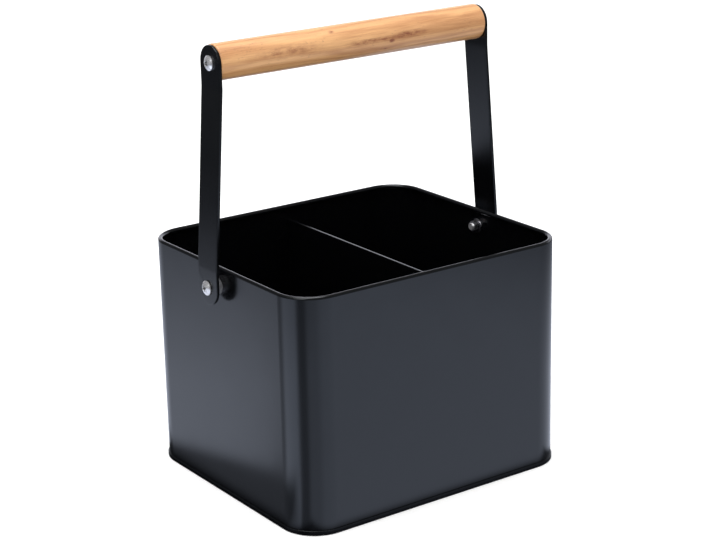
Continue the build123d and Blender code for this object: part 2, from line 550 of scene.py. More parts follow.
def hand_over(piece: Object, body: Body, slot: Slot, material: Material, *nodes: str) -> None:
    """Give a finished piece its finish, its body and the nodes that it stands for.

    Args:
        piece: The finished mesh, at the origin.
        body: The body that it rides on.
        slot: The record's material slot; not used.
        material: Its finish.
        nodes: The CAD nodes that it replaces.
    """
    piece.data.materials.clear()
    piece.data.materials.append(material)
    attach(piece, body.value)
    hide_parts(*nodes)
    triangles = sum(len(face.vertices) - 2 for face in piece.data.polygons)
    log.info("%s: %d triangles on %s, for %s", piece.name, triangles, body.value, ", ".join(nodes))


# Finishes ---------------------------------------------------------------------------------------
class MaterialBuilder(NodeBuilder):
    """Builds one material, whose textures all read the object's own coordinates."""

    def __init__(self, name: str) -> None:
        """Start the material with an empty tree and its Object coordinates.

        Args:
            name: The material's name.
        """
        self.material = bpy.data.materials.new(name)
        self.material.use_nodes = True
        self.material.node_tree.nodes.clear()
        super().__init__(self.material.node_tree)
        self.place = self.add("ShaderNodeTexCoord").outputs["Object"]

    def noise(self, place: NodeSocket, scale: float, detail: float = 2.0, roughness: float = 0.5) -> NodeSocket:
        """Add a noise texture that gives numbers about a half."""
        inputs = {"Vector": place, "Scale": scale, "Detail": detail, "Roughness": roughness}
        return self.add("ShaderNodeTexNoise", inputs).outputs[0]

    def mixed(self, share: NodeSocket, first: NodeSocket | Triple, second: Triple) -> NodeSocket:
        """Mix two colours.

        Args:
            share: How much there is of the second, from 0 to 1.
            first: The first colour, or the socket that gives it.
            second: The second colour.

        Returns:
            The mixed colour's socket.
        """
        base = first if isinstance(first, NodeSocket) else (*first, 1.0)
        inputs = {0: share, 6: base, 7: (*second, 1.0)}
        return self.add("ShaderNodeMix", inputs, data_type="RGBA").outputs[2]

    def bumped(self, height: NodeSocket, distance: float, strength: float = 1.0) -> NodeSocket:
        """Turn a height into a normal; a height of 1 stands proud by the distance."""
        inputs = {"Strength": strength, "Distance": distance, "Height": height}
        return self.add("ShaderNodeBump", inputs).outputs[0]

    def off_axis(self, place: NodeSocket) -> NodeSocket:
        """Distance of a place from the X axis."""
        return self.vector("LENGTH", self.vector("MULTIPLY", place, (0.0, 1.0, 1.0)))

    def finished(self, kind: str, inputs: dict) -> Material:
        """Add the last shader, end the tree with it and give the material."""
        self.add("ShaderNodeOutputMaterial", {0: self.add(kind, inputs).outputs[0]})
        return self.material


@dataclass(frozen=True)
class PowderCoat:
    """Satin powder coat on steel: near black, with a fine orange peel and an uneven gloss.

    A band is the stretch of a noise, from 0 to 1, that its change is spread over.
    """

    name: str
    colour: Triple = (0.0010, 0.0011, 0.0015)
    speck_colour: Triple = (0.0019, 0.0021, 0.0027)
    speck_band: Pair = (0.45, 0.75)
    gloss: float = 0.21
    gloss_spread: float = 0.04
    gloss_band: Pair = (0.3, 0.7)
    peel_size: float = 1.1 * MM
    peel_height: float = 0.010 * MM
    specks_per_peel: float = 3.0
    cloud_size: float = 22 * MM
    refraction: float = 1.5
    mirror_tint: Triple = (0.90, 0.95, 1.0)

    def material(self) -> Material:
        """Build the coat's node material.

        Returns:
            The coat's material.
        """
        nodes = MaterialBuilder(self.name)
        cloud = nodes.noise(nodes.place, 1 / self.cloud_size, detail=3.0)
        peel = nodes.noise(nodes.place, 1 / self.peel_size)
        speck = nodes.noise(nodes.place, self.specks_per_peel / self.peel_size, detail=1.0)
        spread = self.gloss_spread / 2
        share = nodes.scaled(speck, *self.speck_band, 0.0, 1.0)
        return nodes.finished("ShaderNodeBsdfPrincipled", {
            "Base Color": nodes.mixed(share, self.colour, self.speck_colour),
            "Roughness": nodes.scaled(cloud, *self.gloss_band, self.gloss - spread, self.gloss + spread),
            "Normal": nodes.bumped(peel, self.peel_height),
            "IOR": self.refraction,
            "Specular Tint": (*self.mirror_tint, 1.0),
        })


@dataclass(frozen=True)
class ZincPlate:
    """Bright zinc on a turned steel fastener whose axis runs along X.

    A screw's cross recess is drawn darker, as painted shade: inside recess_radius, and between the head's
    underside and its top, which recess_span gives as distances from the middle of the caddy.
    The shade fades out between the two depths under the top that recess_fade gives.
    """

    name: str
    axis_height: float
    colour: Triple = (0.84, 0.84, 0.86)
    dull_colour: Triple = (0.60, 0.60, 0.62)
    dull_band: Pair = (0.40, 0.66)
    gloss: float = 0.22
    dull_gloss: float = 0.38
    gloss_band: Pair = (0.35, 0.68)
    metal_share: float = 0.8
    recess_radius: float = 2.3 * MM
    recess_span: Pair = (0.0, 0.0)
    recess_fade: Pair = (0.8 * MM, 0.45 * MM)
    recess_shade: float = 0.22
    ring_pitch: float = 0.16 * MM
    ring_depth: float = 0.0035 * MM
    cloud_size: float = 2.4 * MM

    def material(self) -> Material:
        """Build the plate's node material.

        Returns:
            The plate's material.
        """
        nodes = MaterialBuilder(self.name)
        across = nodes.off_axis(nodes.vector("SUBTRACT", nodes.place, (0.0, 0.0, self.axis_height)))
        cloud = nodes.noise(nodes.place, 1 / self.cloud_size, detail=4.0)
        wobbly = nodes.math("ADD", across, nodes.product(cloud, self.ring_pitch))
        ring = nodes.math("SINE", nodes.product(wobbly, math.tau / self.ring_pitch))
        dull_tone_and_shade = nodes.scaled(cloud, *self.dull_band, 0.0, 1.0)
        out = nodes.math("ABSOLUTE", nodes.parts(nodes.place)[0])
        under_head, top = self.recess_span
        below_top = [top - depth for depth in self.recess_fade]
        # Painted shade: the base colour darkens inside the cross recess, where shade falls.
        painted_recess_shade = nodes.product(
            nodes.math("GREATER_THAN", out, under_head),
            nodes.scaled(out, *below_top, 1.0, 0.0),
            nodes.math("LESS_THAN", across, self.recess_radius),
        )
        shade = tuple(channel * self.recess_shade for channel in self.colour)
        return nodes.finished("ShaderNodeBsdfPrincipled", {
            "Base Color": nodes.mixed(painted_recess_shade, nodes.mixed(dull_tone_and_shade, self.colour, self.dull_colour), shade),
            "Metallic": self.metal_share,
            "Roughness": nodes.scaled(cloud, *self.gloss_band, self.gloss, self.dull_gloss),
            "Normal": nodes.bumped(ring, self.ring_depth),
        })


@dataclass(frozen=True)
class Stain:
    """One long blot on the grip; its elevation is in degrees above the front."""

    along: float
    elevation: float
    half_length: float
    half_width: float
    strength: float


@dataclass(frozen=True)
class VarnishedBeech:
    """Beech along X under a thin satin varnish: rings, long fibres and short dark ray flecks.

    A band is the stretch of a noise, from 0 to 1, that its change is spread over.
    """

    name: str
    axis_height: float
    light: Triple = (0.78, 0.44, 0.195)
    dark: Triple = (0.43, 0.185, 0.068)
    tone_band: Pair = (0.40, 0.92)
    ring_width: float = 2.6 * MM
    ring_weight: float = 0.20
    pith_offset: float = 19 * MM
    drift_rings: float = 3.4
    drift_scale: Triple = (9.0, 60.0, 60.0)
    drift_weight: float = 0.55
    fibre_width: float = 0.45 * MM
    fibre_stretch: Triple = (0.03, 1.0, 1.0)
    fibre_weight: float = 0.62
    fleck: Triple = (0.27, 0.13, 0.06)
    fleck_width: float = 0.9 * MM
    fleck_stretch: Triple = (0.22, 1.0, 1.0)
    fleck_edge: Pair = (0.10, 0.24)
    patch_scale: Triple = (60.0, 160.0, 160.0)
    patch_band: Pair = (0.44, 0.66)
    patch_share: float = 0.75
    relief: float = 0.03 * MM
    relief_strength: float = 0.6
    gloss: Pair = (0.37, 0.50)
    gloss_band: Pair = (0.3, 0.7)
    varnish_share: float = 0.35
    varnish_gloss: float = 0.28
    radius: float = 11 * MM
    stain_colour: Triple = (0.24, 0.070, 0.026)
    stain_core: float = 0.15
    mottle_scale: Triple = (210.0, 520.0, 520.0)
    mottle_band: Pair = (0.38, 0.68)
    mottle_least: float = 0.20
    stains: tuple[Stain, ...] = (
        Stain(-52 * MM, 12.0, 30 * MM, 5.0 * MM, 0.80),
        Stain(38 * MM, 6.0, 15 * MM, 2.8 * MM, 1.5),
        Stain(18 * MM, 2.0, 17 * MM, 2.4 * MM, 1.2),
        Stain(0.0, 0.0, 14 * MM, 2.6 * MM, 0.9),
        Stain(-18 * MM, 52.0, 2.6 * MM, 1.6 * MM, 2.0),
        Stain(24 * MM, -8.0, 2.6 * MM, 1.6 * MM, 1.8),
        Stain(20 * MM, -34.0, 1.6 * MM, 1.1 * MM, 1.8),
    )

    def stained(self, nodes: MaterialBuilder) -> NodeSocket:
        """Add up the brown stains, each an elongated blot broken up by a mottle.

        Args:
            nodes: The material's builder.

        Returns:
            How much stain there is, from 0 to 1.
        """
        centred = nodes.vector("SUBTRACT", nodes.place, (0.0, 0.0, self.axis_height))
        grain_place = nodes.vector("MULTIPLY", centred, self.mottle_scale)
        grain = nodes.noise(grain_place, 1.0, detail=5.0, roughness=0.7)
        mottle = nodes.scaled(grain, *self.mottle_band, self.mottle_least, 1.0)
        total = 0.0
        for stain in self.stains:
            angle = math.radians(stain.elevation)
            middle = (stain.along, -self.radius * math.cos(angle), self.radius * math.sin(angle))
            shrink = (1 / stain.half_length, 1 / stain.half_width, 1 / stain.half_width)
            offset = nodes.vector("MULTIPLY", nodes.vector("SUBTRACT", centred, middle), shrink)
            blot = nodes.scaled(nodes.vector("LENGTH", offset), self.stain_core, 1.0, stain.strength, 0.0)
            total = nodes.math("ADD", total, blot)
        return nodes.math("MINIMUM", nodes.product(total, mottle), 1.0)

    def material(self) -> Material:
        """Build the wood's node material.

        Returns:
            The wood's material.
        """
        nodes = MaterialBuilder(self.name)
        pith = (0.0, self.pith_offset, self.axis_height - self.pith_offset / 2)
        centred = nodes.vector("SUBTRACT", nodes.place, pith)
        drift = nodes.noise(nodes.vector("MULTIPLY", centred, self.drift_scale), 1.0, detail=3.0)
        shift = nodes.product(drift, self.drift_rings * self.ring_width)
        radius = nodes.math("ADD", nodes.off_axis(centred), shift)
        wave = nodes.math("SINE", nodes.product(radius, math.tau / self.ring_width))
        ring = nodes.scaled(wave, -1.0, 1.0, 0.0, 1.0)
        fibre_place = nodes.vector("MULTIPLY", centred, self.fibre_stretch)
        fibre = nodes.noise(fibre_place, 1 / self.fibre_width, detail=4.0, roughness=0.65)
        tone = nodes.math("ADD", nodes.product(ring, self.ring_weight), nodes.product(fibre, self.fibre_weight))
        tone = nodes.math("ADD", tone, nodes.product(drift, self.drift_weight))
        wood = nodes.mixed(nodes.scaled(tone, *self.tone_band, 0.0, 1.0), self.light, self.dark)
        fleck_place = nodes.vector("MULTIPLY", centred, self.fleck_stretch)
        inputs = {"Vector": fleck_place, "Scale": 1 / self.fleck_width, "Randomness": 1.0}
        cells = nodes.add("ShaderNodeTexVoronoi", inputs).outputs["Distance"]
        flecks = nodes.scaled(cells, *self.fleck_edge, 1.0, 0.0)
        patch = nodes.noise(nodes.vector("MULTIPLY", centred, self.patch_scale), 1.0)
        share = nodes.product(flecks, nodes.scaled(patch, *self.patch_band, 0.0, self.patch_share))
        brown = nodes.mixed(self.stained(nodes), wood, self.stain_colour)
        height = nodes.math("SUBTRACT", nodes.product(fibre, 0.5), nodes.product(flecks, 0.5))
        return nodes.finished("ShaderNodeBsdfPrincipled", {
            "Base Color": nodes.mixed(share, brown, self.fleck),
            "Roughness": nodes.scaled(fibre, *self.gloss_band, *self.gloss),
            "Normal": nodes.bumped(height, self.relief, self.relief_strength),
            "Coat Weight": self.varnish_share,
            "Coat Roughness": self.varnish_gloss,
        })


# Sub-assemblies ---------------------------------------------------------------------------------
@dataclass
class CaddyBody:
    """The box: wall with its curled rim, seamed base pan and hemmed divider."""

    coat: PowderCoat
    wall_sheet: float = 0.8 * MM
    corner_radius: float = 23 * MM
    corner_steps: int = 28
    curl_radius: float = 1.6 * MM
    curl_turn: float = 240.0
    curl_steps: int = 24
    round_steps: int = 6
    base_sheet: float = 0.7 * MM
    seam_gap: float = 0.05 * MM
    seam_top_round: float = 0.34 * MM
    seam_foot_round: float = 0.9 * MM
    seam_foot_steps: int = 8
    seam_weld: float = 0.01 * MM
    hole_radius: float = BORE_RADIUS
    divider_sheet: float = 0.8 * MM
    hem_width: float = 1.8 * MM
    hem_depth: float = 7 * MM
    hem_round: float = 0.45 * MM
    hem_end_gap: float = 0.4 * MM
    hem_inner_steps: int = 8
    flange_bend: float = 1.4 * MM
    flange_bend_steps: int = 8
    flange_fall: float = 6.5 * MM

    def __post_init__(self) -> None:
        """Read the body's places from the frame."""
        self.low, self.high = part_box("wall_sleeve")
        _, self.pan_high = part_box("base_pan")
        self.divider_low, self.divider_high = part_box("divider")

    def round_body(self, section: Object, material: Material) -> Object:
        """Sweep a section round the body's outline.

        Args:
            section: The section's curve, its x measured outwards from the wall's outer face.
            material: Its finish.

        Returns:
            The swept mesh.
        """
        return SectionRoundBody().run(
            section, material,
            Width=self.high.x - self.low.x, Depth=self.high.y - self.low.y,
            Corner_Radius=self.corner_radius, Corner_Steps=self.corner_steps,
        )

    def wall(self, material: Material) -> Object:
        """Build the wall with its curled rim and the two pivot holes.

        Args:
            material: Its finish.

        Returns:
            The wall.
        """
        middle = (-self.curl_radius, self.high.z - self.curl_radius)
        inner = self.curl_radius - self.wall_sheet
        outline = [(0.0, self.low.z)]
        outline += arc(middle, self.curl_radius, 0.0, self.curl_turn, self.curl_steps)
        outline += reversed(arc(middle, inner, 0.0, self.curl_turn, self.curl_steps))
        outline += [(-self.wall_sheet, self.low.z)]
        wall = self.round_body(section_curve("wall", outline), material)
        reach, radius = self.high.x + self.hole_radius, self.hole_radius
        drill = turned("drill", [(0.0, -reach), (radius, -reach), (radius, reach), (0.0, reach)], DRILL_STEPS)
        return combine(wall, laid_along_x(drill, PIVOT_Z), "DIFFERENCE")

    def base_pan(self, material: Material) -> Object:
        """Build the floor panel and the seam that its edge makes round the foot of the wall.

        Args:
            material: Its finish.

        Returns:
            The pan.
        """
        outside = self.seam_gap + self.base_sheet
        slot_inside = -self.wall_sheet - self.seam_gap
        leg_inside = slot_inside - self.base_sheet
        panel_edge = leg_inside - 2 * self.base_sheet
        top = self.pan_high.z
        top_round, foot_round = self.seam_top_round, self.seam_foot_round
        outline = [(panel_edge, top), (slot_inside, top), (slot_inside, self.base_sheet)]
        outline += [(self.seam_gap, self.base_sheet), (self.seam_gap, top)]
        outline += reversed(arc((outside - top_round, top - top_round), top_round, 0.0, 90.0, self.round_steps))
        foot = (outside - foot_round, foot_round)
        outline += reversed(arc(foot, foot_round, -90.0, 90.0, self.seam_foot_steps))
        outline += [(leg_inside + top_round, 0.0), (leg_inside, top_round), (leg_inside, top - self.base_sheet)]
        outline += [(panel_edge, top - self.base_sheet)]
        pan = self.round_body(section_curve("base_pan_shell", outline, cyclic=False), material)
        shape = bmesh.new()
        shape.from_mesh(pan.data)
        bmesh.ops.remove_doubles(shape, verts=shape.verts, dist=self.seam_weld)
        bmesh.ops.holes_fill(shape, edges=[edge for edge in shape.edges if edge.is_boundary])
        bpy.data.objects.remove(pan)
        return from_bmesh("base_pan_shell", shape)

    def divider(self, material: Material) -> Object:
        """Build the divider's web, its two sloped flanges and the folded top edge.

        Args:
            material: Its finish.

        Returns:
            The divider.
        """
        low, high, sheet = self.divider_low, self.divider_high, self.divider_sheet
        flange_top = high.z - self.hem_depth
        slope_from = high.x - sheet
        web = FlangedWeb().run(
            section_curve("divider_sheet", [(0.0, 0.0), (1.0, 0.0)], cyclic=False), material,
            Web_X=high.x - sheet / 2, Free_X=low.x, Reach_Y=high.y - sheet / 2,
            Middle_Z=(low.z + flange_top) / 2, Sheet_Height=flange_top - low.z, Sheet=sheet,
            Bend_Radius=self.flange_bend, Bend_Steps=self.flange_bend_steps,
            Slope_From_X=slope_from, Slope=self.flange_fall / (slope_from - low.x),
        )
        return combine(web, self.hem(high.x, flange_top), "UNION")

    def hem(self, right: float, foot: float) -> Object:
        """Build the divider's folded edge, whose loose leaf hangs on the left of the web.

        Args:
            right: X of the divider's right face.
            foot: Height where the fold starts.

        Returns:
            The fold, a little sunk into the web so that the two can be joined.
        """
        half, sheet, edge = self.hem_width / 2, self.divider_sheet, self.hem_round
        middle = (right - half, self.divider_high.z - half)
        corner_z = self.divider_high.z - edge
        outline = [(right, foot - sheet / 2)]
        outline += arc((right - edge, corner_z), edge, 0.0, 90.0, self.round_steps)
        outline += arc((right - self.hem_width + edge, corner_z), edge, 90.0, 180.0, self.round_steps)
        outline += [(right - self.hem_width, foot), (right - self.hem_width + sheet, foot)]
        outline += reversed(arc(middle, half - sheet, 0.0, 180.0, self.hem_inner_steps))
        outline += [(right - sheet, foot - sheet / 2)]
        reach = self.divider_high.y - self.hem_end_gap
        return skin("hem", [[(x, y, z) for x, z in outline] for y in (-reach, reach)])

    def build(self) -> None:
        """Make the three pieces and hand them over."""
        material = self.coat.material()
        makers = {"wall_sleeve": self.wall, "base_pan": self.base_pan, "divider": self.divider}
        pieces = {node: shaded(make(material)) for node, make in makers.items()}
        for node, piece in pieces.items():
            hand_over(piece, Body.CADDY, Slot.BODY_COAT, material, node)


@dataclass
class Fasteners:
    """Screws, nuts, spacers and washers: a pair of each, one on either side.

    head_share, nut_share and washer_share draw a fastener a little smaller than its node.  Spins
    are the left one's turn about its axis and how much further the right one is turned, in radians.
    """

    shank_radius: float = 2.5 * MM
    side_play: float = 0.1 * MM
    head_share: float = 0.9
    nut_share: float = 0.84
    washer_share: float = 0.88
    head_rim: float = 0.9 * MM
    head_edge: float = 0.22 * MM
    dome_steps: int = 12
    cross_width: float = 1.35 * MM
    cross_span: float = 4.6 * MM
    cross_depth: float = 1.5 * MM
    cross_mouth_share: float = 1.08
    cross_floor_share: float = 0.46
    cross_wall_share: float = 0.82
    cross_corner: float = 1.35
    cross_ease: float = 0.2
    thread_pitch: float = 0.8 * MM
    thread_depth: float = 0.42 * MM
    thread_length: float = 7.5 * MM
    thread_cuts: int = 8
    nut_turn_down: float = 0.45 * MM
    nut_sink: float = 0.35 * MM
    bore_radius: float = BORE_RADIUS
    edge: float = 0.18 * MM
    pivot_spins: Pair = (0.35, 0.6)
    grip_spins: Pair = (0.9, 0.5)

    def screw(self, name: str, low: Vector, high: Vector, length: float) -> Object:
        """Build a pan head screw along Z, its head above the XY plane.

        Args:
            name: The object's name.
            low: Lowest corner of one screw's node.
            high: Highest corner of one screw's node.
            length: Length under the head.

        Returns:
            The screw, with a cross recess and a thread at its end.
        """
        head_radius = (high.z - low.z) / 2 * self.head_share
        head_height = (high.x - low.x) - length
        dome_height = head_height - self.head_rim
        dome_radius = (head_radius ** 2 + dome_height ** 2) / (2 * dome_height)
        opening = math.degrees(math.asin(head_radius / dome_radius))
        profile = arc((0.0, head_height - dome_radius), dome_radius, 90.0, -opening, self.dome_steps)[1:]
        profile += [(head_radius, self.head_edge), (head_radius - self.head_edge, 0.0)]
        profile += [(self.shank_radius, 0.0), (self.shank_radius, self.thread_length - length)]
        rings = [[(0.0, 0.0, head_height)]]
        rings += [self.ring(radius, height, 0.0) for radius, height in profile]
        turns = int(self.thread_length / self.thread_pitch * self.thread_cuts)
        for cut in range(1, turns + 1):
            height = self.thread_length - length - cut * self.thread_pitch / self.thread_cuts
            fade = min(1.0, cut / self.thread_cuts)
            run_out = max(0.0, (cut - turns + self.thread_cuts) / self.thread_cuts)
            radius = self.shank_radius - run_out * self.thread_depth
            rings.append(self.ring(radius, height, self.thread_depth * fade * (1 - run_out)))
        rings.append([(0.0, 0.0, rings[-1][0][2])])
        return combine(skin(name, rings), self.cross(head_height), "DIFFERENCE")

    def ring(self, radius: float, height: float, depth: float) -> list[Triple]:
        """Draw one ring of a screw, its radius drawn in by the thread's groove.

        Args:
            radius: Outer radius.
            height: Height along the screw.
            depth: Depth of the thread's groove.

        Returns:
            The ring's points.
        """
        points = []
        for step in range(RING_STEPS):
            angle = math.tau * step / RING_STEPS
            groove = abs(math.remainder(height / self.thread_pitch - step / RING_STEPS, 1.0)) * 2
            drawn = radius - depth * (1 - groove)
            points.append((drawn * math.cos(angle), drawn * math.sin(angle), height))
        return points

    def cross(self, top: float) -> Object:
        """Build the tapered cross that is cut into a screw's head.

        Args:
            top: Height of the head's top.

        Returns:
            The cutting tool.
        """
        above, low = top + self.edge * 2, top - self.cross_depth * self.cross_wall_share
        angles = [math.pi / 2 * turn for turn in range(4)]
        rings = [[(0.0, 0.0, above)]]
        for height, share in ((above, self.cross_mouth_share), (low, self.cross_floor_share)):
            span, width = self.cross_span / 2 * share, self.cross_width / 2 * (0.5 + share / 2)
            corner = width * self.cross_corner
            eased = corner + width * self.cross_ease
            quarter = [(span, width), (eased, width), (corner, corner), (width, eased), (width, span)]
            rings.append([
                (x * math.cos(angle) - y * math.sin(angle), x * math.sin(angle) + y * math.cos(angle), height)
                for angle in angles for x, y in quarter
            ])
        return skin("cross", [*rings, [(0.0, 0.0, top - self.cross_depth)]])

    def washer(self, name: str, radius: float, thickness: float) -> Object:
        """Build a washer or spacer that stands on the XY plane, its edges eased.

        Args:
            name: The object's name.
            radius: Its outer radius.
            thickness: Its thickness.

        Returns:
            The washer.
        """
        edge, bore = self.edge, self.bore_radius
        profile = [(bore, edge), (bore + edge, 0.0), (radius - edge, 0.0), (radius, edge)]
        profile += [(radius, thickness - edge), (radius - edge, thickness)]
        profile += [(bore + edge, thickness), (bore, thickness - edge)]
        return turned(name, profile, RING_STEPS, closed=True)

    def nut(self, name: str, across: float, height: float) -> Object:
        """Build a hexagon nut that stands on the XY plane.

        Args:
            name: The object's name.
            across: Across its flats.
            height: Its height.

        Returns:
            The nut, with its corners turned down at both faces and a countersunk bore.
        """
        corner, down = across / math.sqrt(3), self.nut_turn_down
        hexagon = turned(name, [(0.0, 0.0), (corner, 0.0), (corner, height), (0.0, height)], 6)
        blank = [(0.0, 0.0), (corner - 2 * down, 0.0), (corner, down), (corner, height - down)]
        blank += [(corner - 2 * down, height), (0.0, height)]
        nut = combine(hexagon, turned("blank", blank, RING_STEPS), "INTERSECT")
        bore, sink = self.bore_radius, self.nut_sink
        drill = [(0.0, -sink), (bore + 2 * sink, -sink), (bore, sink), (bore, height - sink)]
        drill += [(bore + 2 * sink, height + sink), (0.0, height + sink)]
        return combine(nut, turned("drill", drill, DRILL_STEPS), "DIFFERENCE")

    def pair(self, piece: Object, body: Body, finish: ZincPlate, node: str, reach: float,
             spins: Pair = (0.0, 0.0)) -> None:
        """Set a fastener on both sides and hand the pair over.

        Args:
            piece: The fastener, drawn along Z.
            body: The body that the pair rides on.
            finish: Its plate.
            node: The nodes' name without its side.
            reach: X of the fastener's own XY plane.
            spins: The pair's spins.
        """
        material = finish.material()
        placed = FastenerPair().run(
            piece, material, Reach_X=reach, Height_Z=finish.axis_height, Spin=spins[0], Spin_Difference=spins[1]
        )
        hand_over(shaded(placed), body, Slot.ZINC, material, f"{node}_left", f"{node}_right")

    def build(self) -> None:
        """Make every pair of fasteners."""
        low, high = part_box("pivot_screw_right")
        head_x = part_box("handle_arm_right")[1].x + self.side_play
        bright = ZincPlate("zinc_pivot_screws", PIVOT_Z, recess_span=(head_x, high.x))
        screw = self.screw("pivot_screws", low, high, head_x - low.x)
        self.pair(screw, Body.CADDY, bright, "pivot_screw", head_x, self.pivot_spins)
        # Painted shade: the spacers sit in the shaded gap between arm and wall, so their zinc is drawn darker than
        # the screws'.
        dull_tone_and_shade = ZincPlate(
            "zinc_pivot_rings", PIVOT_Z, colour=(0.58, 0.58, 0.61), dull_colour=(0.36, 0.36, 0.38), metal_share=0.62
        )
        low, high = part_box("pivot_spacer_right")
        spacer = self.washer("pivot_spacers", (high.z - low.z) / 2, high.x - low.x)
        self.pair(spacer, Body.CADDY, dull_tone_and_shade, "pivot_spacer", low.x)
        # Painted shade: the nuts sit inside the dark box, so their zinc, which the washers share, is drawn darker
        # than the screws'.
        plain = ZincPlate(
            "zinc_pivot_nuts", PIVOT_Z, colour=(0.62, 0.62, 0.66), dull_colour=(0.32, 0.32, 0.35), metal_share=0.98
        )
        low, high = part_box("pivot_washer_right")
        washer = self.washer("pivot_washers", (high.z - low.z) * self.washer_share / 2, high.x - low.x)
        self.pair(washer, Body.CADDY, plain, "pivot_washer", low.x)
        low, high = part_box("pivot_nut_right")
        nut = self.nut("pivot_nuts", min(high.y - low.y, high.z - low.z) * self.nut_share, high.x - low.x)
        self.pair(nut, Body.CADDY, plain, "pivot_nut", low.x)
        low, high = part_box("grip_screw_right")
        head_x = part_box("wood_grip")[1].x + ARM_SHEET
        bright = ZincPlate("zinc_grip_screws", (low.z + high.z) / 2, recess_span=(head_x, high.x))
        screw = self.screw("grip_screws", low, high, head_x - low.x)
        self.pair(screw, Body.HANDLE, bright, "grip_screw", head_x, self.grip_spins)


@dataclass
class Handle:
    """The two strap arms and the beech grip between them."""

    strap: PowderCoat
    arm_edge: float = 0.4 * MM
    arm_edge_steps: int = 3
    arm_edge_angle: float = 60.0
    arm_sharp_angle: float = 50.0
    hole_radius: float = BORE_RADIUS
    bend_radius: float = 45 * MM
    bend_steps: int = 12
    bend_run: float = 3.5 * MM
    spacer_radius: float = 5.5 * MM
    row_height: float = 2 * MM
    grip_round: float = 1.0 * MM
    grip_round_steps: int = 6
    grip_steps: int = 128
    grip_hole_depth: float = 30 * MM

    def __post_init__(self) -> None:
        """Read the handle's places from the frame."""
        arm_low, arm_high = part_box("handle_arm_right")
        grip_low, grip_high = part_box("wood_grip")
        self.half_width = (arm_high.y - arm_low.y) / 2
        self.grip_end = grip_high.x
        self.grip_radius = (grip_high.z - grip_low.z) / 2
        self.grip_z = (grip_low.z + grip_high.z) / 2
        self.pivot_x = arm_high.x - ARM_SHEET / 2
        self.grip_x = grip_high.x + ARM_SHEET / 2
        self.low_bend = PIVOT_Z + self.spacer_radius + self.bend_run
        self.high_bend = grip_low.z - self.bend_run

    def blank_length(self) -> float:
        """Length of the flat strap between its two holes, before it is bent.

        Returns:
            The length, a little less than along the bends' corners.
        """
        rise = self.high_bend - self.low_bend
        lean = math.atan2(self.pivot_x - self.grip_x, rise)
        saved = 2 * self.bend_radius * (2 * math.tan(lean / 2) - lean)
        return (self.low_bend - PIVOT_Z) + rise / math.cos(lean) + (self.grip_z - self.high_bend) - saved

    def flat_strap(self, name: str, length: float) -> Object:
        """Build the flat strap in the YZ plane, a hole and a round end at each of its ends.

        Args:
            name: The object's name.
            length: Between the holes; the lower one is one strap width above Z 0.

        Returns:
            The strap at its full thickness, its edges eased.
        """
        shape = bmesh.new()
        radius = self.half_width
        feet = []
        for centre, flip in ((2 * radius, -1.0), (2 * radius + length, 1.0)):
            inner, outer = [], []
            for step in range(RING_STEPS):
                angle = math.tau * step / RING_STEPS
                y, z = math.cos(angle), math.sin(angle)
                # The half towards the strap's middle is square, to meet its straight part.
                reach = 1.0 if z >= -1e-9 else 1 / max(abs(y), abs(z))
                inner.append(shape.verts.new((0.0, self.hole_radius * y, centre + flip * self.hole_radius * z)))
                outer.append(shape.verts.new((0.0, radius * reach * y, centre + flip * radius * reach * z)))
            for step in range(RING_STEPS):
                ahead = (step + 1) % RING_STEPS
                shape.faces.new((inner[step], inner[ahead], outer[ahead], outer[step]))
            # The square's straight side lies from 225 to 315 degrees.
            first, last = RING_STEPS * 5 // 8, RING_STEPS * 7 // 8
            feet.append(outer[first:last + 1])
        rows = [feet[0]]
        height = length - 2 * radius
        count = round(height / self.row_height)
        for row in range(1, count):
            z = 3 * radius + height * row / count
            rows.append([shape.verts.new((0.0, foot.co.y, z)) for foot in feet[0]])
        rows.append(feet[1])
        for row, above in zip(rows, rows[1:]):
            for corner in range(len(row) - 1):
                shape.faces.new((row[corner], row[corner + 1], above[corner + 1], above[corner]))
        strap = from_bmesh(name, shape)
        thick = strap.modifiers.new("sheet", "SOLIDIFY")
        thick.thickness = ARM_SHEET
        thick.offset = 0.0
        return bevelled(strap, self.arm_edge, self.arm_edge_steps, self.arm_edge_angle)

    def arm(self, side: Side, material: Material) -> Object:
        """Bend one arm from its flat strap.

        Args:
            side: Which side it is for.
            material: Its finish.

        Returns:
            The bent arm.
        """
        margin = 2 * self.half_width
        arm = BentStrap().run(
            self.flat_strap(f"arm_{side.name.lower()}", self.blank_length()), material,
            Pivot_X=self.pivot_x, Grip_X=self.grip_x, Start_Z=PIVOT_Z - margin,
            Low_Bend_Z=self.low_bend, High_Bend_Z=self.high_bend, End_Z=self.grip_z + margin,
            Bend_Radius=self.bend_radius, Bend_Steps=self.bend_steps, Side=side.value,
        )
        if side is Side.LEFT:  # The mirroring has turned its faces inwards.
            arm.data.flip_normals()
        return arm

    def grip(self) -> Object:
        """Turn the wooden grip, with rounded ends and a blind hole in each end.

        Returns:
            The grip.
        """
        half, edge, bottom = self.grip_end, self.grip_round, self.grip_end - self.grip_hole_depth
        end = [(0.0, bottom), (self.hole_radius, bottom), (self.hole_radius, half)]
        end += reversed(arc((self.grip_radius - edge, half - edge), edge, 0.0, 90.0, self.grip_round_steps))
        profile = end + [(across, -along) for across, along in reversed(end)]
        return laid_along_x(turned("grip", profile, self.grip_steps), self.grip_z)

    def build(self) -> None:
        """Make the arms and the grip and hand them over."""
        coat = self.strap.material()
        for side in Side:
            arm = shaded(self.arm(side, coat), self.arm_sharp_angle)
            hand_over(arm, Body.HANDLE, Slot.ARM_COAT, coat, f"handle_arm_{side.name.lower()}")
        beech = VarnishedBeech("varnished_beech", self.grip_z).material()
        hand_over(shaded(self.grip()), Body.HANDLE, Slot.BEECH, beech, "wood_grip")


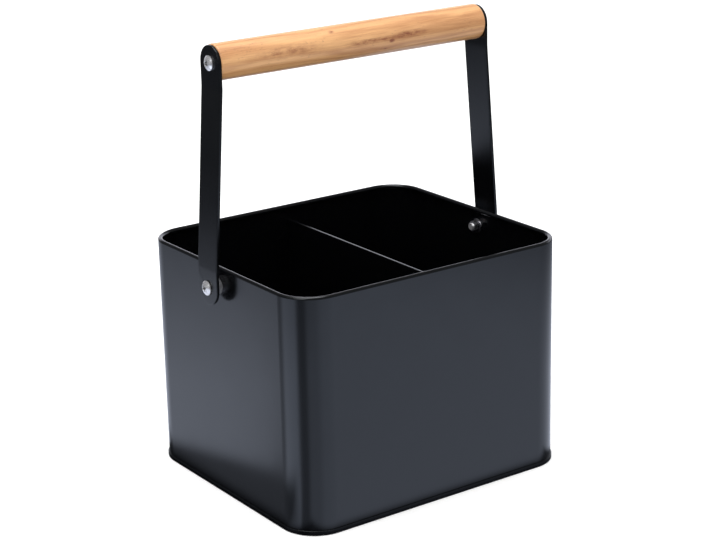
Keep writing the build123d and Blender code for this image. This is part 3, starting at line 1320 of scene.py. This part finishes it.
# Studio -----------------------------------------------------------------------------------------
@dataclass(frozen=True)
class Softbox:
    """One soft rectangular light that points at the caddy."""

    name: str
    place: Triple
    width: float
    depth: float
    power: float
    aim: Triple = (0.0, 0.0, 0.1)

    def build(self) -> None:
        """Add the light."""
        light = bpy.data.lights.new(self.name, "AREA")
        light.shape = "RECTANGLE"
        light.size, light.size_y = self.width, self.depth
        light.energy = self.power
        lamp = show(self.name, light)
        lamp.location = self.place
        lamp.rotation_mode = "QUATERNION"
        lamp.rotation_quaternion = (Vector(self.aim) - Vector(self.place)).to_track_quat("-Z", "Y")


@dataclass
class Studio:
    """Pale floor, soft lights and the camera at the photograph's angle.

    The near-black coat shows mostly what it mirrors, so a lit table top and a backdrop are there
    for reflections only.  Angles are in degrees.  A fade, a reach, wedge_right and wedge_front
    say where a change begins and where it ends.
    """

    azimuth: float = -34.99
    elevation: float = 20.333
    roll: float = -1.286
    distance: float = 1.230892
    target: Triple = (0.0, 0.0, 0.070)
    target_px: Pair = (-1.52, 82.605)
    focal_px: float = 1930.955
    image_width_px: float = 716.0
    sensor_width: float = 36.0
    clip: Pair = (0.05, 100.0)
    floor_size: float = 30.0
    floor_lift: float = 0.16
    floor_tone: Pair = (0.86, 0.89)
    floor_band: Pair = (0.3, 0.7)
    floor_cloud_scale: float = 3.0
    floor_bounce: float = 0.45
    dome_strength: float = 1.15
    dark_studio: float = 0.22
    table_size: float = 4.0
    table_drop: float = 0.2 * MM
    glow_colour: Triple = (0.92, 0.99, 1.18)
    glow_middle: Pair = (0.03, -0.13)
    glow_fade: Pair = (0.38, 1.02)
    glow_level: Pair = (1.08, 0.08)
    fan_corner: Pair = (-0.085, -0.072)
    fan_levels: tuple[Pair, ...] = (
        (-150.0, 1.0), (-112.0, 1.0), (-108.0, 0.5), (-95.0, 0.5), (-84.0, 1.5), (-46.0, 1.5), (-36.0, 0.35),
        (-18.0, 0.35), (-8.0, 0.8), (16.0, 0.8), (32.0, 1.0), (90.0, 1.0),
    )
    east_fade: Pair = (0.25, 0.60)
    east_level: float = 0.35
    contact_inset: float = 10 * MM
    contact_reach: Pair = (4 * MM, 13 * MM)
    contact_level: float = 0.10
    wedge_line: tuple[Pair, Pair] = ((-0.125, 0.082), (-0.153, 0.002))
    wedge_soft: float = 13 * MM
    wedge_level: float = 0.22
    wedge_right: Pair = (-0.100, -0.095)
    wedge_front: Pair = (-0.090, -0.060)
    backdrop_colour: Triple = (0.97, 0.98, 1.08)
    backdrop_distance: float = 2.5
    backdrop_foot: float = 0.25
    backdrop_height: float = 1.55
    backdrop_full_share: float = 0.55
    backdrop_angles: Pair = (-10.0, 165.0)
    backdrop_steps: int = 36
    backdrop_level: float = 1.65
    backdrop_fade: Pair = (80.0, 105.0)
    backdrop_left_share: float = 0.08
    softboxes: tuple[Softbox, ...] = (
        Softbox("overhead softbox", (0.0, 0.1, 1.6), 1.0, 1.0, 16.0),
        Softbox("left softbox", (-1.3, -0.6, 1.3), 0.9, 0.9, 6.0),
    )

    def __post_init__(self) -> None:
        """Note the fan's highest level."""
        self.fan_peak = max(level for _, level in self.fan_levels)

    def camera(self) -> None:
        """Set the camera so that the target lands on its place in the photograph."""
        azimuth, elevation, roll = (math.radians(angle) for angle in (self.azimuth, self.elevation, self.roll))
        flat = math.cos(elevation)
        back = Vector((math.sin(azimuth) * flat, -math.cos(azimuth) * flat, math.sin(elevation)))
        level = Vector((0.0, 0.0, 1.0)).cross(back).normalized()
        upright = back.cross(level)
        right = level * math.cos(roll) + upright * math.sin(roll)
        up = upright * math.cos(roll) - level * math.sin(roll)
        pan = math.atan2(self.target_px[0], self.focal_px)
        tilt = math.atan2(self.target_px[1], math.hypot(self.focal_px, self.target_px[0]))
        axis_x = right * math.cos(pan) - back * math.sin(pan)
        ahead = -right * math.sin(pan) - back * math.cos(pan)
        axis_y = up * math.cos(tilt) - ahead * math.sin(tilt)
        axis_z = -(up * math.sin(tilt) + ahead * math.cos(tilt))
        lens = bpy.data.cameras.new("photo camera")
        lens.sensor_width = self.sensor_width
        lens.lens = self.focal_px / self.image_width_px * self.sensor_width
        lens.clip_start, lens.clip_end = self.clip
        camera = show("photo camera", lens)
        turn = Matrix((axis_x, axis_y, axis_z)).transposed()
        camera.matrix_world = Matrix.Translation(Vector(self.target) + back * self.distance) @ turn.to_4x4()
        bpy.context.scene.camera = camera

    def plane(self, name: str, size: float, height: float) -> Object:
        """Add a square stage plane, centred under the caddy.

        Args:
            name: The object's name.
            size: Length of its sides.
            height: Its height.

        Returns:
            The plane.
        """
        half = size / 2
        mesh = bpy.data.meshes.new(name)
        corners = [(-half, -half, height), (half, -half, height), (half, half, height), (-half, half, height)]
        mesh.from_pydata(corners, [], [(0, 1, 2, 3)])
        plane = show(name, mesh)
        return plane

    def mirrored_only(self, card: Object, nodes: MaterialBuilder, colour: Triple, level: NodeSocket) -> None:
        """Make a stage card glow, and hide it from everything but reflections.

        Args:
            card: The card.
            nodes: Builder of the card's material.
            colour: The light's colour.
            level: The light's strength at each place.
        """
        light = nodes.finished("ShaderNodeEmission", {"Color": (*colour, 1.0), "Strength": level})
        card.data.materials.append(light)
        card.visible_camera = card.visible_diffuse = card.visible_shadow = False
        card.visible_transmission = card.visible_volume_scatter = False

    def backdrop(self) -> None:
        """Stand the white backdrop round the rear of the table, for reflections only."""
        first, last = self.backdrop_angles
        points = arc((0.0, 0.0), self.backdrop_distance, first, last - first, self.backdrop_steps)
        verts = [(x, y, z) for z in (self.backdrop_foot, self.backdrop_height) for x, y in points]
        count = len(points)
        faces = [(step, step + 1, count + step + 1, count + step) for step in range(count - 1)]
        mesh = bpy.data.meshes.new("backdrop")
        mesh.from_pydata(verts, [], faces)
        card = show("backdrop", mesh)
        nodes = MaterialBuilder("white_backdrop")
        x, y, z = nodes.parts(nodes.place)
        full = self.backdrop_height * self.backdrop_full_share
        start, end = (math.radians(angle) for angle in self.backdrop_fade)
        level = nodes.product(
            nodes.scaled(z, full, self.backdrop_height, self.backdrop_level, 0.0),
            nodes.scaled(nodes.math("ARCTAN2", y, x), start, end, 1.0, self.backdrop_left_share),
        )
        self.mirrored_only(card, nodes, self.backdrop_colour, level)

    def floor(self) -> None:
        """Lay the pale floor, which reflections don't see."""
        floor = self.plane("floor", self.floor_size, 0.0)
        floor.visible_glossy = False
        nodes = MaterialBuilder("pale_floor")
        cloud = nodes.noise(nodes.place, self.floor_cloud_scale, detail=4.0)
        seen = nodes.add("ShaderNodeLightPath").outputs["Is Camera Ray"]
        tone = nodes.scaled(cloud, *self.floor_band, *self.floor_tone)
        level = nodes.product(tone, nodes.scaled(seen, 0.0, 1.0, self.floor_bounce, 1.0))
        colour = nodes.add("ShaderNodeCombineColor", {0: level, 1: level, 2: level}).outputs[0]
        matt = nodes.add("ShaderNodeBsdfDiffuse", {"Color": colour}).outputs[0]
        lift = nodes.add("ShaderNodeEmission", {"Color": WHITE, "Strength": self.floor_lift}).outputs[0]
        floor.data.materials.append(nodes.finished("ShaderNodeAddShader", {0: matt, 1: lift}))

    def glow(self) -> None:
        """Lay the lit table top that only the reflections see.

        It fades away from its bright middle.  Broad shadows and bright strips fan out on it from
        the caddy's front corner, and the caddy's own shadow lies along the left wall.
        """
        table = self.plane("lit_table", self.table_size, -self.table_drop)
        nodes = MaterialBuilder("lit_table")
        x, y, _ = nodes.parts(nodes.place)
        away = nodes.vector("LENGTH", nodes.vector("SUBTRACT", nodes.place, (*self.glow_middle, 0.0)))
        gap_x = nodes.math("SUBTRACT", nodes.math("ABSOLUTE", x), cad_box[1].x - self.contact_inset)
        gap_y = nodes.math("SUBTRACT", nodes.math("ABSOLUTE", y), cad_box[1].y)
        gap = nodes.math("MAXIMUM", gap_x, gap_y)
        level = nodes.product(
            nodes.scaled(away, *self.glow_fade, *self.glow_level),
            nodes.math("MINIMUM", self.fan_light(nodes), self.wall_shadow_light(nodes)),
            nodes.scaled(x, *self.east_fade, 1.0, self.east_level),
            # Painted contact shadow: the table darkens close round the caddy's foot.
            nodes.scaled(gap, *self.contact_reach, self.contact_level, 1.0),
        )
        self.mirrored_only(table, nodes, self.glow_colour, level)

    def fan_light(self, nodes: MaterialBuilder) -> NodeSocket:
        """Brightness round the front corner: bright window strips and broad shadows between them.

        Args:
            nodes: The table's material builder.

        Returns:
            The level at each place, as a share of the table's own.
        """
        azimuth = math.radians(self.azimuth)
        from_corner = nodes.vector("SUBTRACT", nodes.place, (*self.fan_corner, 0.0))
        along = nodes.vector("DOT_PRODUCT", from_corner, (math.sin(azimuth), -math.cos(azimuth), 0.0))
        beside = nodes.vector("DOT_PRODUCT", from_corner, (math.cos(azimuth), math.sin(azimuth), 0.0))
        angle = nodes.math("ARCTAN2", beside, along)
        first, last = self.fan_levels[0][0], self.fan_levels[-1][0]
        share = nodes.scaled(angle, math.radians(first), math.radians(last), 0.0, 1.0)
        fan = nodes.add("ShaderNodeValToRGB", {0: share})
        stops = fan.color_ramp.elements
        for degrees, level in self.fan_levels:
            # The ramp's own two stops stand for the ends; a new one changes the others' numbers.
            at_end = {first: stops[0], last: stops[-1]}
            stop = at_end[degrees] if degrees in at_end else stops.new((degrees - first) / (last - first))
            grey = level / self.fan_peak
            stop.color = (grey, grey, grey, 1.0)
        return nodes.product(fan.outputs[0], self.fan_peak)

    def wall_shadow_light(self, nodes: MaterialBuilder) -> NodeSocket:
        """Light left in the caddy's own shadow, a wedge along its left wall.

        Args:
            nodes: The table's material builder.

        Returns:
            The fan's highest level outside the wedge, the shadow's own level inside it.
        """
        start, end = Vector(self.wedge_line[0]), Vector(self.wedge_line[1])
        outwards = Vector((end.y - start.y, start.x - end.x)).normalized()
        from_start = nodes.vector("SUBTRACT", nodes.place, (*start, 0.0))
        distance = nodes.vector("DOT_PRODUCT", from_start, (*outwards, 0.0))
        x, y, _ = nodes.parts(nodes.place)
        wedge = nodes.product(
            nodes.scaled(distance, -self.wedge_soft, self.wedge_soft, 1.0, 0.0),
            nodes.scaled(x, *self.wedge_right, 1.0, 0.0),
            nodes.scaled(y, *self.wedge_front, 0.0, 1.0),
        )
        return nodes.scaled(wedge, 0.0, 1.0, self.fan_peak, self.wedge_level)

    def dome(self) -> None:
        """Light everything evenly, and leave the studio dark in reflections."""
        world = bpy.data.worlds.new("studio")
        world.use_nodes = True
        world.node_tree.nodes.clear()
        nodes = NodeBuilder(world.node_tree)
        mirrored = nodes.add("ShaderNodeLightPath").outputs["Is Glossy Ray"]
        strength = nodes.scaled(mirrored, 0.0, 1.0, self.dome_strength, self.dark_studio)
        light = nodes.add("ShaderNodeBackground", {"Color": WHITE, "Strength": strength})
        nodes.add("ShaderNodeOutputWorld", {0: light.outputs[0]})
        bpy.context.scene.world = world

    def build(self) -> None:
        """Set up the whole studio."""
        bpy.context.scene.view_settings.view_transform = "Standard"
        self.camera()
        self.floor()
        self.glow()
        self.backdrop()
        self.dome()
        for box in self.softboxes:
            box.build()
        log.info("studio: camera lens %.1f mm", bpy.context.scene.camera.data.lens)


def main() -> None:
    """Build the caddy and its studio."""
    CaddyBody(PowderCoat("black_powder_coat")).build()
    Fasteners().build()
    Handle(PowderCoat("black_arm_coat", gloss=0.25)).build()
    Studio().build()


if __name__ == "__main__":
    logging.basicConfig(level=logging.INFO, format="%(name)s: %(message)s")
    main()
